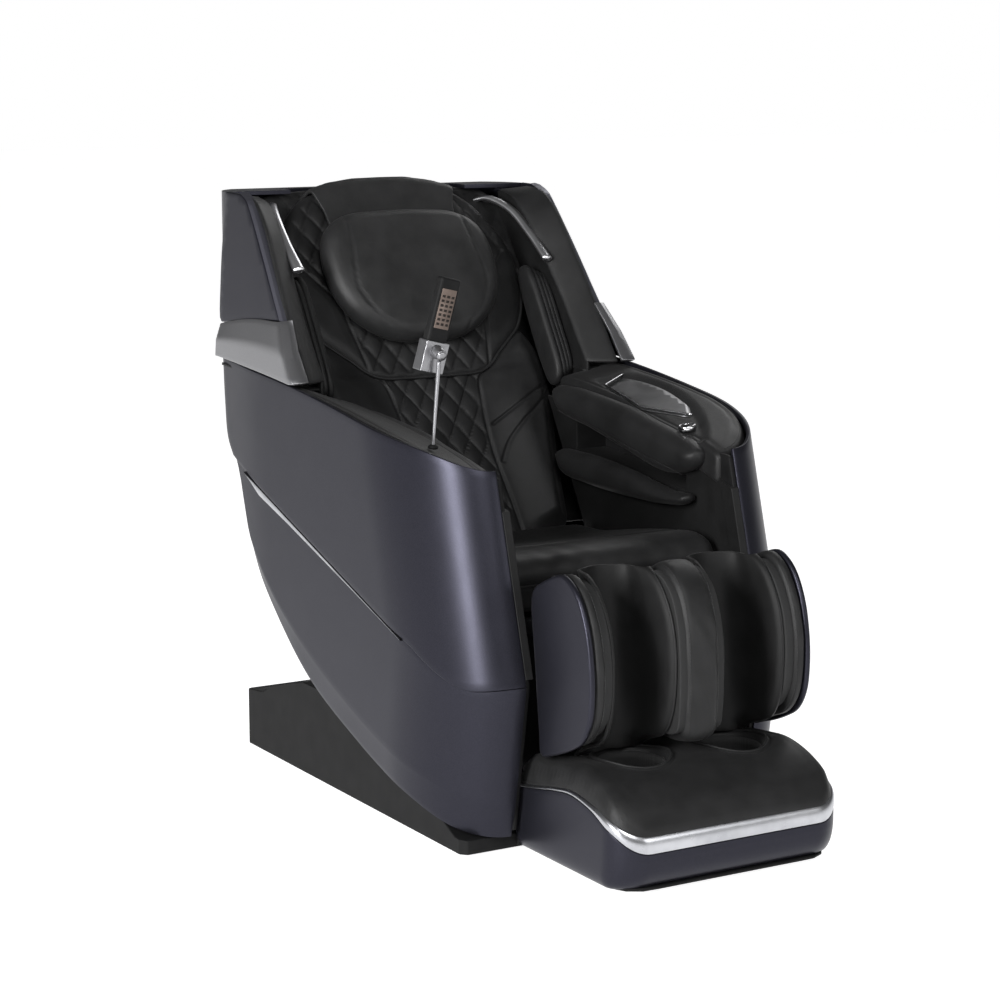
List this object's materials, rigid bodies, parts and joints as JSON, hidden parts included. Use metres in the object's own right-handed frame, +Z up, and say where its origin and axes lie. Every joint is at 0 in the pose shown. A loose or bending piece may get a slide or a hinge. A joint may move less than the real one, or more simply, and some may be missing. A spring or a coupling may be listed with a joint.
{
  "type": "massage chair",
  "caption": "Zero-gravity massage chair with side shells, winged backrest, quilted pads, calf and foot massage unit on a low base.",
  "frame": {"origin": "on the floor, centred under the chair's bounding box", "axes": "+Z up; the chair faces -Y; +X is the sitter's left"},
  "size_m": [0.784, 1.41, 1.1517],
  "materials": {
    "navy_paint": "satin metallic",
    "silver_satin": "satin metallic",
    "black_leather": "grained satin",
    "black_plastic": "matte textured",
    "steel": "satin",
    "rubber": "matte",
    "roller_plastic": "satin"
  },
  "bodies": {
    "base": {"base_frame": "steel", "base_cover": "black_plastic"},
    "carriage": {"slide_carriage": "steel"},
    "seat": {"seat_frame": "steel", "seat_cushion": "black_leather"},
    "shell": {"left_side_panel_upper": "navy_paint", "left_side_panel_lower": "navy_paint", "left_accent_strip": "silver_satin", "left_arm_liner": "black_plastic", "left_armrest_top": "black_leather", "left_forearm_pad_upper": "black_leather", "left_forearm_pad_lower": "black_leather", "left_shoulder_accent": "silver_satin", "left_wing_shell": "navy_paint", "left_wing_liner": "black_plastic", "left_shoulder_pad": "black_leather", "right_side_panel_upper": "navy_paint", "right_side_panel_lower": "navy_paint", "right_accent_strip": "silver_satin", "right_arm_liner": "black_plastic", "right_armrest_top": "black_leather", "right_forearm_pad_upper": "black_leather", "right_forearm_pad_lower": "black_leather", "right_shoulder_accent": "silver_satin", "right_wing_shell": "navy_paint", "right_wing_liner": "black_plastic", "right_shoulder_pad": "black_leather", "rear_cover": "navy_paint", "backrest_frame": "steel", "upper_back_pad": "black_leather", "lower_back_pad": "black_leather"},
    "pillow": {"headrest_pillow": "black_leather"},
    "massage_unit": {"massage_carriage": "steel"},
    "calf_rest": {"calf_frame": "black_plastic", "calf_center_pad": "black_leather", "left_calf_outer_cover": "navy_paint", "left_calf_side_pad": "black_leather", "right_calf_outer_cover": "navy_paint", "right_calf_side_pad": "black_leather"},
    "foot_unit": {"foot_shell": "navy_paint", "foot_trim": "silver_satin", "foot_pad": "black_leather"},
    "foot_massager": {"foot_roller": "roller_plastic"},
    "legrest_cylinder": {"legrest_actuator_housing": "black_plastic"},
    "legrest_piston": {"legrest_actuator_rod": "steel"},
    "recline_cylinder": {"recline_actuator_housing": "black_plastic"},
    "recline_piston": {"recline_actuator_rod": "steel"},
    "stand": {"remote_stand": "silver_satin"},
    "clamp": {"remote_clamp": "silver_satin"},
    "handset": {"remote_handset": "black_plastic"},
    "knob": {"control_knob": "silver_satin"},
    "switch": {"power_switch": "rubber"},
    "left_kneader": {"left_kneading_arm": "steel"},
    "left_upper_roller": {"left_upper_massage_roller": "roller_plastic"},
    "left_lower_roller": {"left_lower_massage_roller": "roller_plastic"},
    "left_wheel": {"left_transport_wheel": "rubber"},
    "right_kneader": {"right_kneading_arm": "steel"},
    "right_upper_roller": {"right_upper_massage_roller": "roller_plastic"},
    "right_lower_roller": {"right_lower_massage_roller": "roller_plastic"},
    "right_wheel": {"right_transport_wheel": "rubber"}
  },
  "joints": [
    {"name": "carriage_slide", "type": "slide", "parent": "base", "child": "carriage", "axis": [0, -1, 0], "range_m": [0, 0.13]},
    {"name": "seat_tilt", "type": "hinge", "parent": "carriage", "child": "seat", "pos_m": [0, 0.15, 0.3], "axis": [-1, 0, 0], "range_deg": [0, 20]},
    {"name": "recline", "type": "hinge", "parent": "seat", "child": "shell", "pos_m": [0, 0.15, 0.45], "axis": [-1, 0, 0], "range_deg": [0, 25]},
    {"name": "pillow_flip", "type": "hinge", "parent": "shell", "child": "pillow", "pos_m": [0, 0.61538, 1.15678], "axis": [-1, 0, 0], "range_deg": [0, 150]},
    {"name": "massage_travel", "type": "slide", "parent": "shell", "child": "massage_unit", "axis": [0, 0.5195, 0.8545], "range_m": [-0.235, 0.29]},
    {"name": "calf_rest_lift", "type": "hinge", "parent": "seat", "child": "calf_rest", "pos_m": [0, -0.38, 0.49], "axis": [-1, 0, 0], "range_deg": [0, 80]},
    {"name": "foot_extension", "type": "slide", "parent": "calf_rest", "child": "foot_unit", "axis": [0, -0.1178, -0.993], "range_m": [0, 0.15]},
    {"name": "foot_roller_spin", "type": "hinge", "parent": "foot_unit", "child": "foot_massager", "pos_m": [0, -0.505, 0.074], "axis": [1, 0, 0], "continuous": true},
    {"name": "legrest_actuator_swing", "type": "hinge", "parent": "seat", "child": "legrest_cylinder", "pos_m": [0, -0.05, 0.27], "axis": [-1, 0, 0], "range_deg": [0, 16.6]},
    {"name": "legrest_actuator_stroke", "type": "slide", "parent": "legrest_cylinder", "child": "legrest_piston", "axis": [0, -0.9953, 0.0966], "range_m": [0, 0.206]},
    {"name": "recline_actuator_swing", "type": "hinge", "parent": "seat", "child": "recline_cylinder", "pos_m": [0, 0.06, 0.312], "axis": [-1, 0, 0], "range_deg": [0, 9.8]},
    {"name": "recline_actuator_stroke", "type": "slide", "parent": "recline_cylinder", "child": "recline_piston", "axis": [0, -0.8711, -0.4911], "range_m": [0, 0.039]},
    {"name": "remote_stand_swivel", "type": "hinge", "parent": "shell", "child": "stand", "pos_m": [-0.31, -0.184, 0.722], "axis": [0.0393, -0.0851, 0.9956], "range_deg": [-150, 150]},
    {"name": "remote_tilt", "type": "hinge", "parent": "stand", "child": "clamp", "pos_m": [-0.304, -0.197, 0.889], "axis": [1, 0, 0], "range_deg": [-8, 20]},
    {"name": "remote_lift_off", "type": "slide", "parent": "clamp", "child": "handset", "axis": [0.2377, -0.0583, 0.9696], "range_m": [0, 0.12]},
    {"name": "control_knob_turn", "type": "hinge", "parent": "shell", "child": "knob", "pos_m": [0.256, -0.168, 0.706], "axis": [0, 0, 1], "continuous": true},
    {"name": "power_switch_rock", "type": "hinge", "parent": "base", "child": "switch", "pos_m": [0.2, 0.573, 0.066], "axis": [1, 0, 0], "range_deg": [-8, 8]},
    {"name": "left_kneading", "type": "hinge", "parent": "massage_unit", "child": "left_kneader", "pos_m": [0.056, 0.47812, 0.70774], "axis": [1, 0, 0], "range_deg": [-8, 8]},
    {"name": "left_upper_roller_spin", "type": "hinge", "parent": "left_kneader", "child": "left_upper_roller", "pos_m": [0.074, 0.48875, 0.76564], "axis": [1, 0, 0], "continuous": true},
    {"name": "left_lower_roller_spin", "type": "hinge", "parent": "left_kneader", "child": "left_lower_roller", "pos_m": [0.074, 0.4316, 0.67165], "axis": [1, 0, 0], "continuous": true},
    {"name": "left_wheel_spin", "type": "hinge", "parent": "base", "child": "left_wheel", "pos_m": [0.232, 0.541, 0.029], "axis": [1, 0, 0], "continuous": true},
    {"name": "right_kneading", "type": "hinge", "parent": "massage_unit", "child": "right_kneader", "pos_m": [-0.056, 0.47812, 0.70774], "axis": [1, 0, 0], "range_deg": [-8, 8]},
    {"name": "right_upper_roller_spin", "type": "hinge", "parent": "right_kneader", "child": "right_upper_roller", "pos_m": [-0.074, 0.48875, 0.76564], "axis": [1, 0, 0], "continuous": true},
    {"name": "right_lower_roller_spin", "type": "hinge", "parent": "right_kneader", "child": "right_lower_roller", "pos_m": [-0.074, 0.4316, 0.67165], "axis": [1, 0, 0], "continuous": true},
    {"name": "right_wheel_spin", "type": "hinge", "parent": "base", "child": "right_wheel", "pos_m": [-0.232, 0.541, 0.029], "axis": [1, 0, 0], "continuous": true}
  ],
  "couplings": [
    {"joint": "carriage_slide", "follows": "seat_tilt", "m_per_rad": 0.37242},
    {"joint": "legrest_actuator_swing", "follows": "calf_rest_lift", "ratio": 0.20438},
    {"joint": "legrest_actuator_stroke", "follows": "calf_rest_lift", "m_per_rad": 0.14682},
    {"joint": "recline_actuator_swing", "follows": "recline", "ratio": 0.388},
    {"joint": "recline_actuator_stroke", "follows": "recline", "m_per_rad": 0.08846}
  ]
}
